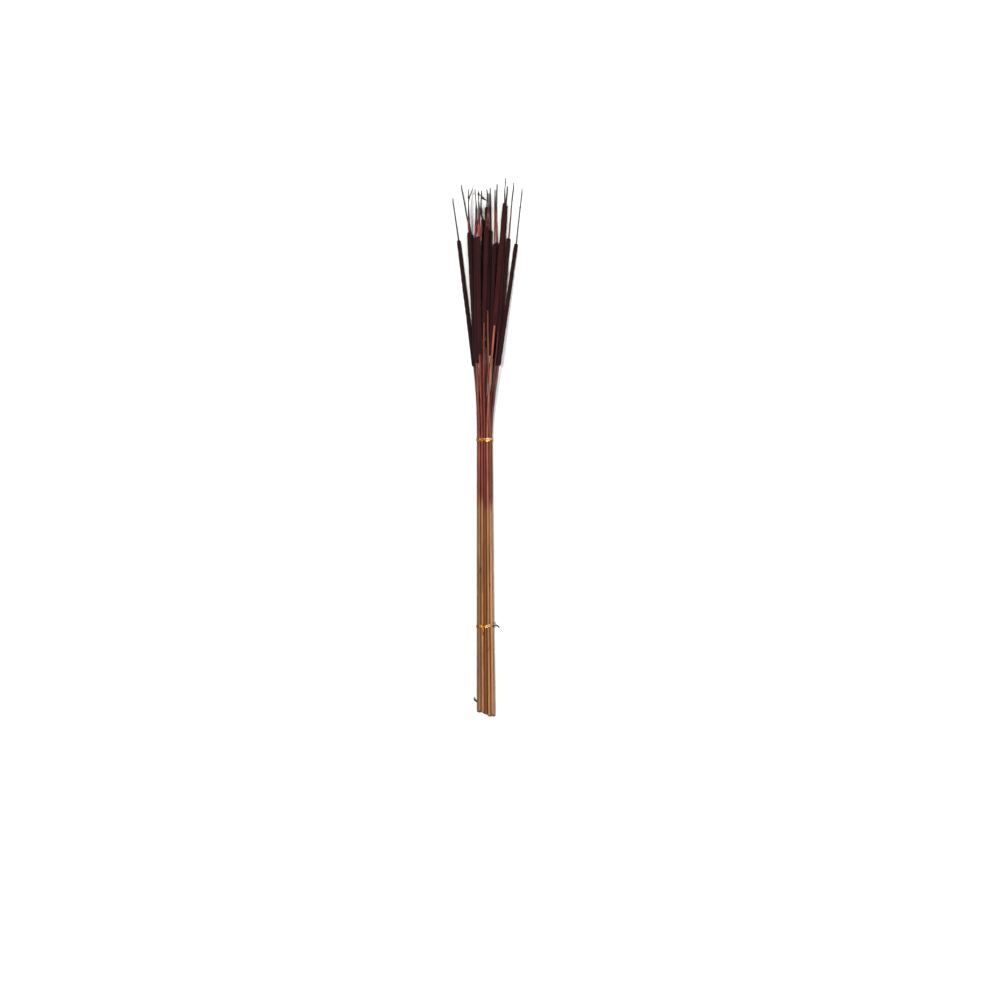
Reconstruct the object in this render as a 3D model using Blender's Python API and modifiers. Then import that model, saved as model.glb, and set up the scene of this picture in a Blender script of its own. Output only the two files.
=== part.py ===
# A bunch of dried pencil cattails held by two twist ties, lying on its side.
# Metres, +Z up. +Y runs from the cut ends to the tips, and +X is to the right, seen from above.
# The origin is at the bottom centre of the whole bunch.

import math
from collections import namedtuple

import bmesh
import bpy
import numpy as np
from mathutils import Vector

MM = 0.001

# Driving dimensions
BUNCH_LENGTH = 762 * MM     # lowest cut end to highest tip
UPPER_TIE = 392 * MM        # middle of the upper tie, from the cut ends
LOWER_TIE = 128 * MM        # middle of the lower tie
FOOT_RADIUS = 1.75 * MM     # a stem at its cut end
TIED_RADIUS = 1.6 * MM      # at the upper tie
NECK_RADIUS = 1.5 * MM      # just under the seed head
CORE_RADIUS = 1.15 * MM     # inside the seed head
THIN_RADIUS = 0.85 * MM     # where a spike has thinned out
TIP_RADIUS = 0.8 * MM
BORE_RADIUS = 1.65 * MM     # the seed head's way for its stem
THINNING = 8 * MM           # length over which a spike's thick base thins out
WORN_SHARE = 0.9            # of its base's radius that a spike still has where it starts to thin
CLEARANCE = 0.4 * MM        # between neighbours in the pile
TIE_GAP = 0.35 * MM         # between a tie and the stems it holds
TIE_THICKNESS = 0.5 * MM
TIE_WIDTH = 4 * MM

# The stems lie in three rows where they are tied: five, six and five of them.
ROW_COUNTS = (5, 6, 5)
# Middle line and spacing of a row at the cut ends, the lower tie and the upper tie
ROW_MIDDLES = (-1.7 * MM, -2.7 * MM, -3.8 * MM)
ROW_PITCHES = (4.6 * MM, 4.25 * MM, 3.8 * MM)

# Each cattail, from the lowest of the pile to the highest, in millimetres.
# row and place say where it lies at the ties. foot is how far its cut end stands back. low and top are
# the ends of its seed head and spike lists the points up to its tip, each as (across, along). thin is
# how far along the bunch its spike has thinned out.
Cattail = namedtuple("Cattail", "number row place foot low top spike head_radius spike_radius thin")
CATTAILS = (
    Cattail("02", 0, 0, 5, (-11.3, 511), (-22.4, 682), ((-28.3, 704), (-34.1, 736), (-37.6, 753)),
            3.1, 1.0, 715),
    Cattail("04", 0, 1, 6, (-6.0, 516), (-22.9, 679), ((-25.6, 700), (-26.2, 733), (-19.0, 750)),
            3.0, 1.1, 712),
    Cattail("10", 0, 2, 3, (-0.1, 522), (4.7, 688), ((4.4, 722), (4.0, 749)), 3.1, 1.35, 738),
    Cattail("12", 0, 3, 2, (9.4, 506), (13.6, 671), ((12.7, 700), (12.7, 725), (14.0, 754)), 3.1, 1.25, 738),
    Cattail("15", 0, 4, 1, (13.8, 497), (30.3, 677), ((34.9, 732), (38.0, 756)), 3.3, 1.0, 738),
    Cattail("11", 1, 3, 4, (5.4, 511), (9.8, 668), ((10.6, 718), (10.6, 746)), 3.1, 1.25, 735),
    Cattail("14", 1, 4, 1, (15.4, 546), (26.1, 723), ((29.0, 751),), 3.2, 1.2, 740),
    Cattail("07", 1, 2, 4, (-8.0, 539), (-5.3, 698), ((-8.7, 711), (-9.0, 724), (-8.1, 745)),
            3.1, 1.3, 726),
    Cattail("01", 1, 0, 6, (-18.7, 496), (-40.7, 674), ((-46.2, 712), (-49.6, 734)), 3.1, 1.0, 715),
    Cattail("16", 1, 5, 0, (15.9, 497), (40.8, 669), ((44.5, 704), (49.7, 748)), 3.1, 0.9, 730),
    Cattail("03", 1, 1, 7, (-16.8, 504), (-25.9, 684), ((-26.2, 711), (-26.9, 745)), 3.2, 1.9, 712),
    Cattail("08", 2, 4, 2, (0.2, 575), (-0.9, 721), ((-0.1, 741), (-1.8, 747)), 3.2, 1.2, 742),
    Cattail("13", 2, 3, 0, (10.1, 553), (24.7, 726), ((24.2, 740), (26.4, 762)), 3.4, 1.2, 745),
    Cattail("05", 2, 0, 7, (-14.7, 500), (-16.8, 677), ((-15.4, 705), (-15.6, 722), (-17.7, 745)),
            3.2, 2.0, 724),
    Cattail("09", 2, 2, 3, (-4.8, 557), (-1.1, 692), ((1.8, 718), (2.3, 740)), 3.4, 1.6, 727),
    Cattail("06", 2, 1, 5, (-10.9, 512), (-12.9, 678), ((-11.4, 709), (-12.6, 735), (-11.9, 743)),
            3.3, 2.0, 724),
)

# Each twist tie: its place along the bunch, then the points of its twisted knot and of its loose wire
# ends, in millimetres, as (across, along from the tie's middle, above the band).
Tie = namedtuple("Tie", "name place knot tails")
TIES = (
    Tie("upper_tie", UPPER_TIE,
        ((-1.5, 0.0, 0.2), (2.0, 0.6, 0.9), (6.5, 1.0, 1.0)),
        (((6.0, 1.0, 1.0), (8.6, 2.4, 0.9)), ((-8.6, 0.8, 0.3), (-10.0, 2.6, 0.8), (-10.9, 5.0, 1.0)))),
    Tie("lower_tie", LOWER_TIE,
        ((-2.0, -0.4, 0.2), (1.5, 0.5, 0.9), (5.0, 1.2, 1.0)),
        (((4.4, 1.2, 1.0), (8.0, 0.0, 0.8)),
         ((8.2, 0.8, 0.3), (12.0, 1.8, 0.4), (14.6, 1.2, 0.2), (16.3, -1.8, 0.1)))),
)
KNOT_TURNS = 1.5
KNOT_HALF_WIDTH = 0.75 * MM
KNOT_THICKNESS = 0.7 * MM
WIRE_RADIUS = 0.45 * MM
BAND_POINTS = 36            # round a tie's band
ROUTE_STEP = 0.9 * MM       # between the points of a knot or a wire end

# Finishes: colour, roughness and metallic value
FINISHES = {
    "dried_stem": ((0.36, 0.17, 0.08), 0.55, 0.0),
    "seed_head": ((0.05, 0.012, 0.014), 0.95, 0.0),
    "gold_foil": ((0.72, 0.46, 0.13), 0.3, 1.0),
}

# Sections of the bunch at which neighbours are kept apart
SECTION_STEP = 8 * MM       # both ties lie on a section
SECTIONS = np.arange(0.0, BUNCH_LENGTH + SECTION_STEP, SECTION_STEP)
STEM_STEPS = (3, 5, 6)      # of a modelled stem: to the lower tie, to the upper tie, to the head
TIED_STRETCH = 1            # the stretch of a stalk's knots between its ties
HEAD_STRETCH = 3            # and the one inside its head
HEAD_MARGIN = 3 * MM        # kept free beyond each end of a seed head
HEAD_SIDES = 10
MERGE_DISTANCE = 0.01 * MM
COLLAR = 1.5 * MM           # length over which a stem changes thickness at the ends of its seed head


def make_material(name):
    colour, roughness, metallic = FINISHES[name]
    material = bpy.data.materials.new(name)
    material.use_nodes = True
    shader = material.node_tree.nodes["Principled BSDF"]
    shader.inputs["Base Color"].default_value = (*colour, 1.0)
    shader.inputs["Roughness"].default_value = roughness
    shader.inputs["Metallic"].default_value = metallic
    return material


def smooth_course(knots, stretches):
    """Cubic through the knots, which leaves both ends of each listed stretch along its chord."""
    along = np.array([knot[0] for knot in knots])
    across = np.array([knot[1] for knot in knots])
    gaps = np.diff(along)
    slopes = np.diff(across) / gaps
    bends = np.empty(len(knots))
    bends[0], bends[-1] = slopes[0], slopes[-1]
    for i in range(1, len(knots) - 1):
        bends[i] = (slopes[i - 1] * gaps[i] + slopes[i] * gaps[i - 1]) / (gaps[i - 1] + gaps[i])
    for start in stretches:
        bends[start] = bends[start + 1] = slopes[start]

    def course(y):
        i = int(np.clip(np.searchsorted(along, y) - 1, 0, len(gaps) - 1))
        t = (y - along[i]) / gaps[i]
        start, end = across[i], across[i + 1]
        rise_out, rise_in = bends[i] * gaps[i], bends[i + 1] * gaps[i]
        drop = start - end
        square = -3 * drop - 2 * rise_out - rise_in
        cube = 2 * drop + rise_out + rise_in
        return start + t * (rise_out + t * (square + t * cube))

    return course


def contacts(ys, floor):
    """Where a string pulled tight over the floor, from its first to its last point, touches it."""
    kept = []
    for y, z in zip(ys, floor):
        while len(kept) > 1:
            (y0, z0), (y1, z1) = kept[-2:]
            if (z1 - z0) * (y - y0) > (z - z0) * (y1 - y0):
                break
            kept.pop()
        kept.append((y, z))
    return kept


def taut(ys, floor):
    """Heights of that string."""
    kept = contacts(ys, floor)
    return np.interp(ys, [y for y, _ in kept], [z for _, z in kept])


def resting(ys, floor):
    """Heights of a straight rod that rests on the floor on both sides of its own middle."""
    kept = contacts(ys, floor)
    middle = (ys[0] + ys[-1]) / 2
    after = next(i for i, (y, _) in enumerate(kept) if y >= middle)
    (y0, z0), (y1, z1) = kept[after - 1:after + 1]
    return z0 + (z1 - z0) / (y1 - y0) * (ys - y0)


def section_at(y):
    return int(round(y / SECTION_STEP))


class Stalk:
    """The centre line and thickness of one cattail."""

    def __init__(self, cattail):
        self.number = cattail.number
        self.foot = cattail.foot * MM
        self.low = cattail.low[1] * MM
        self.top = cattail.top[1] * MM
        self.tip = cattail.spike[-1][1] * MM
        self.thin = cattail.thin * MM
        self.head_radius = cattail.head_radius * MM
        places = ROW_COUNTS[cattail.row]
        offset = cattail.place - (places - 1) / 2
        tied = [middle + offset * pitch for middle, pitch in zip(ROW_MIDDLES, ROW_PITCHES)]
        knots = [(self.foot, tied[0]), (LOWER_TIE, tied[1]), (UPPER_TIE, tied[2])]
        knots += [(y * MM, x * MM) for x, y in (cattail.low, cattail.top) + cattail.spike]
        self.across = smooth_course(knots, (TIED_STRETCH, HEAD_STRETCH))
        self.spike_knots = [y * MM for _, y in cattail.spike]
        self.thickness = (
            (0.0, UPPER_TIE, self.low - COLLAR, self.low, self.top, self.top + COLLAR,
             self.thin - THINNING, self.thin, self.tip),
            (FOOT_RADIUS, TIED_RADIUS, NECK_RADIUS, CORE_RADIUS, CORE_RADIUS, cattail.spike_radius * MM,
             WORN_SHARE * cattail.spike_radius * MM, THIN_RADIUS, TIP_RADIUS))
        self.x = np.array([self.across(y) for y in SECTIONS])
        self.radius = np.interp(SECTIONS, *self.thickness)
        in_head = (SECTIONS > self.low - HEAD_MARGIN) & (SECTIONS < self.top + HEAD_MARGIN)
        self.radius[in_head] = self.head_radius
        self.there = (SECTIONS > self.foot - SECTION_STEP) & (SECTIONS < self.tip + SECTION_STEP)
        self.z = np.zeros(len(SECTIONS))

    def floor(self, below):
        """The lowest this stalk can lie at each section, on the table, in the ties and on the others."""
        lift = np.where(SECTIONS < UPPER_TIE + SECTION_STEP / 2, TIE_THICKNESS + TIE_GAP, 0.0)
        lift *= np.interp(SECTIONS, (0.0, LOWER_TIE), (0.0, 1.0))
        lowest = self.radius + lift
        for other in below:
            reach = self.radius + other.radius + CLEARANCE
            aside = np.abs(self.x - other.x)
            rise = np.sqrt(np.maximum(reach ** 2 - aside ** 2, 0.0))
            lowest = np.where((aside < reach) & other.there, np.maximum(lowest, other.z + rise), lowest)
        return lowest

    def settle(self, below):
        """Lay the stalk on the others: taut between the ties, then straight in its head and its spike."""
        floor = self.floor(below)
        lower, upper = section_at(LOWER_TIE), section_at(UPPER_TIE)
        low, top = section_at(self.low), section_at(self.top)
        self.z[:lower + 1] = taut(SECTIONS[:lower + 1], floor[:lower + 1])
        self.z[lower:upper + 1] = taut(SECTIONS[lower:upper + 1], floor[lower:upper + 1])
        head = slice(low, top + 1)
        self.z[head] = resting(SECTIONS[head], floor[head])
        neck = floor[upper:low + 1].copy()
        neck[-1] = self.z[low]
        self.z[upper:low + 1] = taut(SECTIONS[upper:low + 1], neck)
        slope = (self.z[top] - self.z[low]) / (SECTIONS[top] - SECTIONS[low])
        beyond = SECTIONS[top + 1:] - SECTIONS[top]
        needed = np.where(self.there[top + 1:], (floor[top + 1:] - self.z[top]) / beyond, slope)
        self.z[top + 1:] = self.z[top] + max(slope, float(np.max(needed))) * beyond

    def radius_at(self, y):
        return float(np.interp(y, *self.thickness))

    def point(self, y):
        return Vector((self.across(y), y, float(np.interp(y, SECTIONS, self.z))))


def pile_up():
    """All the cattails, each laid on those before it."""
    stalks = []
    for cattail in CATTAILS:
        stalk = Stalk(cattail)
        stalk.settle(stalks)
        stalks.append(stalk)
    return stalks


def curve_object(name, points, depth, resolution, cyclic=False, extrude=0.0):
    """A curve of straight runs. Each point is (place, radius factor, tilt)."""
    curve = bpy.data.curves.new(name, "CURVE")
    curve.dimensions = "3D"
    curve.resolution_u = 1
    curve.render_resolution_u = 0
    curve.twist_mode = "Z_UP" if cyclic else "MINIMUM"
    curve.bevel_depth = depth
    curve.bevel_resolution = resolution
    curve.extrude = extrude
    curve.use_fill_caps = True
    spline = curve.splines.new("POLY")
    spline.use_cyclic_u = cyclic
    spline.use_smooth = True
    spline.points.add(len(points) - 1)
    for target, (place, radius, tilt) in zip(spline.points, points):
        target.co = (*place, 1.0)
        target.radius = radius
        target.tilt = tilt
    return bpy.data.objects.new(name, curve)


def make_stem(stalk, material):
    stations = [stalk.foot]
    for end, steps in zip((LOWER_TIE, UPPER_TIE, stalk.low - COLLAR), STEM_STEPS):
        stations += list(np.linspace(stations[-1], end, steps + 1))[1:]
    stations += [stalk.low, stalk.top, stalk.top + COLLAR]
    stations += sorted(set(stalk.spike_knots) | {stalk.thin - THINNING, stalk.thin})
    points = []
    for y in stations:
        points.append((stalk.point(y), stalk.radius_at(y) / MM, 0.0))
    stem = curve_object("stem_" + stalk.number, points, MM, 2)
    stem.data.materials.append(material)
    return stem


def make_head(stalk, material):
    """A turned sleeve with a rounded foot and a longer, rounded shoulder, round its stem."""
    start, end = stalk.point(stalk.low), stalk.point(stalk.top)
    length = (end - start).length
    radius = stalk.head_radius
    outline = (
        (BORE_RADIUS, length), (0.70 * radius, length - 0.7 * MM), (0.90 * radius, length - 4 * MM),
        (0.98 * radius, length - 14 * MM), (radius, 0.5 * length), (0.99 * radius, 12 * MM),
        (0.93 * radius, 3 * MM), (0.74 * radius, 0.6 * MM), (BORE_RADIUS, 0.0))
    mesh = bpy.data.meshes.new("head_" + stalk.number)
    edges = [(i, (i + 1) % len(outline)) for i in range(len(outline))]
    mesh.from_pydata([(r, 0.0, z) for r, z in outline], edges, [])
    head = bpy.data.objects.new(mesh.name, mesh)
    head.location = start
    head.rotation_mode = "QUATERNION"
    head.rotation_quaternion = (end - start).to_track_quat("Z", "Y")
    turn = head.modifiers.new("Turned", "SCREW")
    turn.axis = "Z"
    turn.steps = turn.render_steps = HEAD_SIDES
    turn.use_merge_vertices = True
    turn.merge_threshold = MERGE_DISTANCE
    turn.use_smooth_shade = True
    mesh.materials.append(material)
    return head


def band_points(stalks, y, offset):
    """Points of a band pulled tight round the stems at y, as (x, z)."""
    discs = [(stalk.point(y).x, stalk.point(y).z, stalk.radius_at(y)) for stalk in stalks]
    points = []
    for step in range(BAND_POINTS):
        angle = math.tau * step / BAND_POINTS
        nx, nz = math.cos(angle), math.sin(angle)
        x, z, radius = max(discs, key=lambda disc: disc[0] * nx + disc[1] * nz + disc[2])
        points.append((x + (radius + offset) * nx, z + (radius + offset) * nz))
    return points


def mesh_from(curve, collection):
    """The curve's shape as a mesh object in its place, its caps welded. The curve is removed."""
    collection.objects.link(curve)
    bpy.context.view_layer.update()
    evaluated = curve.evaluated_get(bpy.context.evaluated_depsgraph_get())
    mesh = bpy.data.meshes.new_from_object(evaluated)
    cleaner = bmesh.new()
    cleaner.from_mesh(mesh)
    bmesh.ops.remove_doubles(cleaner, verts=cleaner.verts, dist=MERGE_DISTANCE)
    cleaner.to_mesh(mesh)
    cleaner.free()
    name, place = curve.name, curve.matrix_world.copy()
    bpy.data.objects.remove(curve)
    made = bpy.data.objects.new(name, mesh)
    made.matrix_world = place
    collection.objects.link(made)
    return made


def route_over(band, y, route, turns):
    """Points along the route, which is given over the top of the band, for a curve."""
    side = band[0][1]
    top = sorted((x, z) for x, z in band if z >= side)
    places = [Vector(stop) * MM for stop in route]
    count = int(round((places[-1] - places[0]).length / ROUTE_STEP))
    stops = np.linspace(0.0, 1.0, len(places))
    points = []
    for t in np.linspace(0.0, 1.0, count + 1):
        x, aside, rise = (float(np.interp(t, stops, [place[k] for place in places])) for k in range(3))
        z = float(np.interp(x, [p[0] for p in top], [p[1] for p in top])) + rise
        points.append((Vector((x, y + aside, z)), 1.0, turns * math.tau * t))
    return points


def make_tie(tie, stalks, material, parts, guides):
    """A foil strip round the stems, with its twisted knot and its wire ends joined to it."""
    band = band_points(stalks, tie.place, TIE_GAP + TIE_THICKNESS / 2)
    ring = curve_object(tie.name, [((x, z, 0.0), 1.0, 0.0) for x, z in band], TIE_THICKNESS / 2, 0,
                        cyclic=True, extrude=TIE_WIDTH / 2 - TIE_THICKNESS / 2)
    ring.location = (0.0, tie.place, 0.0)
    ring.rotation_euler = (math.pi / 2, 0.0, 0.0)
    strip = mesh_from(ring, parts)
    ends = [curve_object(tie.name + "_knot", route_over(band, tie.place, tie.knot, KNOT_TURNS),
                         KNOT_THICKNESS / 2, 1, extrude=KNOT_HALF_WIDTH)]
    for index, tail in enumerate(tie.tails):
        route = route_over(band, tie.place, tail, 0.0)
        ends.append(curve_object(f"{tie.name}_end_{index + 1}", route, WIRE_RADIUS, 1))
    for end in ends:
        guide = mesh_from(end, guides)
        guide.hide_render = True
        guide.hide_set(True)
        guide.display_type = "WIRE"
        join = strip.modifiers.new(guide.name, "BOOLEAN")
        join.operation = "UNION"
        join.object = guide
        guide.parent = strip
        guide.matrix_parent_inverse = strip.matrix_world.inverted()
    strip.data.materials.clear()
    strip.data.materials.append(material)
    return strip


def bottom_centre(stalks):
    """The bottom centre of the pile: half way across and along, at the table."""
    xs, ys = [], []
    for stalk in stalks:
        for y in (stalk.foot, stalk.low, stalk.top, stalk.tip):
            radius = stalk.head_radius if stalk.low <= y <= stalk.top else stalk.radius_at(y)
            xs += [stalk.across(y) - radius, stalk.across(y) + radius]
            ys.append(y)
    return Vector(((min(xs) + max(xs)) / 2, (min(ys) + max(ys)) / 2, 0.0))


def main():
    for old in list(bpy.data.objects):
        bpy.data.objects.remove(old)
    parts = bpy.data.collections.new("cattail_bunch")
    guides = bpy.data.collections.new("guides")
    for collection in (parts, guides):
        bpy.context.scene.collection.children.link(collection)
    materials = {name: make_material(name) for name in FINISHES}
    bunch = bpy.data.objects.new("bunch", None)
    parts.objects.link(bunch)

    stalks = pile_up()
    for stalk in stalks:
        for piece in (make_stem(stalk, materials["dried_stem"]), make_head(stalk, materials["seed_head"])):
            parts.objects.link(piece)
            piece.parent = bunch
    for tie in TIES:
        made = make_tie(tie, stalks, materials["gold_foil"], parts, guides)
        made.parent = bunch
    bunch.location = -bottom_centre(stalks)


main()
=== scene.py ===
import math
import random

import bmesh
import bpy
import numpy as np
from mathutils import Matrix, Vector


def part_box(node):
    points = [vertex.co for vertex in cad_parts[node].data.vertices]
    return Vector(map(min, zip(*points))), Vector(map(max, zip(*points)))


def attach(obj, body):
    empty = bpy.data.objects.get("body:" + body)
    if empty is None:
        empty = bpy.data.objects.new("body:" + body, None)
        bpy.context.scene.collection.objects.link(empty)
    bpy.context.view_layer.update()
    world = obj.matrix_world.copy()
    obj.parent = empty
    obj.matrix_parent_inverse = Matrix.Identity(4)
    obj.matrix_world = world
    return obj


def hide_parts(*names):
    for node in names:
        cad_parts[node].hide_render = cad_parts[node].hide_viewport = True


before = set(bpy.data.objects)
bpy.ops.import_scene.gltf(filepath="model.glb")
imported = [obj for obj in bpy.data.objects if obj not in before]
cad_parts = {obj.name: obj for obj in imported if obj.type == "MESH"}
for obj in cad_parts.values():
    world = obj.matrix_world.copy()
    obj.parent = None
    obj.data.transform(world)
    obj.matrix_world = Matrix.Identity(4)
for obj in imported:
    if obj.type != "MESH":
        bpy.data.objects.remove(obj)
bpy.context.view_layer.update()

mm = 0.001
feet = -0.381  # where the cut ends are, from which places along the bunch are counted
numbers = [f"{i:02d}" for i in range(1, 17)]


# Selecting and applying

def focusOn(piece):  # the only selected object, and the active one
    bpy.ops.object.select_all(action="DESELECT")
    piece.hide_set(False)
    piece.select_set(True)
    bpy.context.view_layer.objects.active = piece


def openMesh(piece, kind="FACE"):  # edit mode with nothing selected
    focusOn(piece)
    bpy.ops.object.mode_set(mode="EDIT")
    bpy.ops.mesh.select_mode(type=kind)
    bpy.ops.mesh.select_all(action="DESELECT")


def closeMesh():
    bpy.ops.object.mode_set(mode="OBJECT")


def pickParts(piece, kind, wanted):  # selects the verts, edges or faces that pass the test
    bpy.ops.mesh.select_mode(type=kind)
    bpy.ops.mesh.select_all(action="DESELECT")
    net = bmesh.from_edit_mesh(piece.data)
    for part in {"VERT": net.verts, "EDGE": net.edges, "FACE": net.faces}[kind]:
        if wanted(part):
            part.select_set(True)
    net.select_flush_mode()
    bmesh.update_edit_mesh(piece.data)


def applyAll(piece):
    focusOn(piece)
    for modifier in list(piece.modifiers):
        bpy.ops.object.modifier_apply(modifier=modifier.name)


def settle(piece):  # its place goes into its mesh
    focusOn(piece)
    bpy.ops.object.transform_apply(location=True, rotation=True, scale=True)


def smooth(piece, degrees=50):
    focusOn(piece)
    bpy.ops.object.shade_smooth_by_angle(angle=math.radians(degrees))


def makeRod(name, sides, rings, radius=1, length=1, middle=0):  # along X, left in edit mode
    bpy.ops.object.select_all(action="DESELECT")
    bpy.ops.mesh.primitive_cylinder_add(vertices=sides, radius=radius, depth=length,
                                        location=(middle, 0, 0), rotation=(0, math.pi / 2, 0))
    rod = bpy.context.object
    rod.name = rod.data.name = name
    settle(rod)
    openMesh(rod, "EDGE")
    pickParts(rod, "EDGE", lambda e: abs(e.verts[0].co.x - e.verts[1].co.x) > length / 2)
    bpy.ops.mesh.subdivide(number_cuts=rings)
    return rod


def copyOf(master, name):
    piece = master.copy()
    piece.data = master.data.copy()
    piece.name = name
    piece.data.name = name
    bpy.context.scene.collection.objects.link(piece)
    return piece


def dropPiece(piece):
    data = piece.data
    bpy.data.objects.remove(piece)
    if isinstance(data, bpy.types.Mesh):
        bpy.data.meshes.remove(data)
    elif isinstance(data, bpy.types.Curve):
        bpy.data.curves.remove(data)


def cloudTexture(name, size, depth=2):
    clouds = bpy.data.textures.new(name, "CLOUDS")
    clouds.noise_scale = size
    clouds.noise_depth = depth
    return clouds


def roughen(piece, clouds, strength, group=""):  # pushes the surface in and out by a cloud pattern
    bumps = piece.modifiers.new("Rough", "DISPLACE")
    bumps.texture = clouds
    bumps.texture_coords = "LOCAL"
    bumps.mid_level = 0.5
    bumps.strength = strength
    bumps.vertex_group = group
    applyAll(piece)


def guideCurve(points, radii, tilts=None):  # what a straight piece is bent along
    curve = bpy.data.curves.new("guide", "CURVE")
    curve.dimensions = "3D"
    curve.use_stretch = True
    curve.use_deform_bounds = True
    curve.use_radius = True
    line = curve.splines.new("POLY")
    line.points.add(len(points) - 1)
    for i, (place, radius) in enumerate(zip(points, radii)):
        line.points[i].co = (*place, 1.0)
        line.points[i].radius = radius
        line.points[i].tilt = tilts[i] if tilts else 0.0
    guide = bpy.data.objects.new("guide", curve)
    bpy.context.scene.collection.objects.link(guide)
    return guide


def bendAlong(piece, guide):
    bend = piece.modifiers.new("Bend", "CURVE")
    bend.object = guide
    bend.deform_axis = "POS_X"
    applyAll(piece)


def setValues(piece, name, values):  # a number for each vertex, which the materials read
    layer = piece.data.attributes.new(name, "FLOAT", "POINT")
    layer.data.foreach_set("value", np.asarray(values, np.float32))


def setHue(piece, name, screenColour):  # one colour for the whole piece, which the materials read
    layer = piece.data.attributes.new(name, "FLOAT_COLOR", "POINT")
    colours = np.tile((*linearOf(*screenColour), 1.0), len(piece.data.vertices))
    layer.data.foreach_set("color", np.asarray(colours, np.float32))


def vertexPlaces(piece):
    flat = np.empty(len(piece.data.vertices) * 3, np.float32)
    piece.data.vertices.foreach_get("co", flat)
    return flat.reshape(-1, 3)


# Reading the frame's parts

nodeEdges = {}
for nodeName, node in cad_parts.items():
    corners = vertexPlaces(node)
    pairs = np.array([edge.vertices[:] for edge in node.data.edges])
    nodeEdges[nodeName] = (corners[pairs[:, 0]], corners[pairs[:, 1]])


def cutAcross(nodeName, y):  # points where a CAD node meets the plane at y
    starts, ends = nodeEdges[nodeName]
    crossing = (starts[:, 1] - y) * (ends[:, 1] - y) < 0
    a, b = starts[crossing], ends[crossing]
    share = (y - a[:, 1]) / (b[:, 1] - a[:, 1])
    return a + share[:, None] * (b - a)


def middleAt(nodeName, y):  # centre and radius of a CAD node at y
    ring = cutAcross(nodeName, y)
    low, high = ring.min(axis=0), ring.max(axis=0)
    centre = (low + high) / 2
    reach = np.hypot(ring[:, 0] - centre[0], ring[:, 2] - centre[2]).max()
    return Vector((float(centre[0]), y, float(centre[2]))), float(reach)


# Camera, floor and light

view = {"middle": (6.5 * mm, -62.9 * mm), "height": 3.872, "lens": 100}
studio = {
    # each lamp's place, size and power
    "lamps": {"keyLight": ((-0.85, 0.45, 3.0), 0.7, 74.0), "fillLight": ((0.95, -0.35, 2.9), 0.9, 40.0),
              "backLight": ((0.3, 2.4, 1.9), 1.2, 3.0)},
    "sky": 0.36, "floorSize": 14, "floorTone": 0.96,
    "brightness": 1.38,  # how many times lighter than its own tone a surface shows in this light
}


def makeLight(name, place, size, power):  # a square lamp that faces the origin
    bpy.ops.object.light_add(type="AREA", location=place)
    lamp = bpy.context.object
    lamp.name = name
    lamp.data.shape = "SQUARE"
    lamp.data.size = size
    lamp.data.energy = power
    lamp.rotation_euler = (-Vector(place)).to_track_quat("-Z", "Y").to_euler()


def makeStudio():
    bpy.ops.object.select_all(action="DESELECT")
    bpy.ops.object.camera_add(location=(*view["middle"], view["height"]), rotation=(0, 0, 0))
    camera = bpy.context.object
    camera.data.lens = view["lens"]
    bpy.context.scene.camera = camera
    for name, (place, size, power) in studio["lamps"].items():
        makeLight(name, place, size, power)
    world = bpy.data.worlds.new("studioSky")
    bpy.context.scene.world = world
    world.use_nodes = True
    sky = world.node_tree.nodes["Background"]
    sky.inputs["Color"].default_value = (1, 1, 1, 1)
    sky.inputs["Strength"].default_value = studio["sky"]
    bpy.context.scene.view_settings.view_transform = "Standard"

    bpy.ops.object.select_all(action="DESELECT")
    bpy.ops.mesh.primitive_plane_add(size=studio["floorSize"])
    floor = bpy.context.object
    floor.name = "studioFloor"
    paper = bpy.data.materials.new("palePaper")
    paper.use_nodes = True
    shader = paper.node_tree.nodes["Principled BSDF"]
    shader.inputs["Base Color"].default_value = (*[studio["floorTone"]] * 3, 1)
    shader.inputs["Roughness"].default_value = 0.9
    shader.inputs["Specular IOR Level"].default_value = 0.1
    floor.data.materials.append(paper)


makeStudio()
print("studio ready")


# Materials

# noise patterns: their stretch along the bunch (a small one draws them out), scale, detail and roughness
grains = {
    "fibre": (0.03, 1500, 4, 0.65), "streak": (0.02, 420, 3, 0.5), "patch": (0.3, 160, 4, 0.6),
    "drift": (0.12, 95, 3, 0.6), "mottle": (0.35, 330, 3, 0.6), "pith": (1, 2600, 4, 0.7),
    "pile": (0.6, 2300, 3, 0.7), "shadow": (0.16, 210, 4, 0.6), "tarnish": (1, 700, 3, 0.5),
    "rust": (1, 1200, 3, 0.5), "vein": (0.3, 1500, 4, 0.7),
}
# screen colours
shades = {
    "strawStreak": (112, 62, 26), "dyedStreak": (76, 16, 6), "scar": (52, 24, 16), "cutEndDark": (70, 36, 18),
    "spikeDark": (60, 18, 22), "spikeRed": (98, 22, 20), "spikePink": (182, 82, 74),
    "spikeRust": (136, 80, 54), "spikeBruise": (56, 24, 34), "spikeBlack": (24, 18, 20),
    "spikeAsh": (104, 95, 88), "pithDark": (58, 34, 20), "pithLight": (148, 108, 72),
    "fluffBlack": (25, 9, 12), "fluffBlackTip": (46, 20, 25), "fluffRed": (60, 17, 19),
    "fluffRedTip": (94, 32, 32), "fluffShadow": (24, 8, 10), "fluffFleck": (84, 46, 44),
    "wireDark": (18, 10, 8), "wireLight": (56, 34, 24),
}


def startMaterial(name):
    material = bpy.data.materials.new(name)
    material.use_nodes = True
    return material, material.node_tree, material.node_tree.nodes["Principled BSDF"]


def setInputs(tree, node, values):  # a value or another node's output for each input
    for key, value in values.items():
        if isinstance(value, bpy.types.NodeSocket):
            tree.links.new(value, node.inputs[key])
        else:
            node.inputs[key].default_value = value


def addNode(tree, kind, values=None, **settings):
    made = tree.nodes.new(kind)
    for key, value in settings.items():
        setattr(made, key, value)
    setInputs(tree, made, values or {})
    return made


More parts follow.
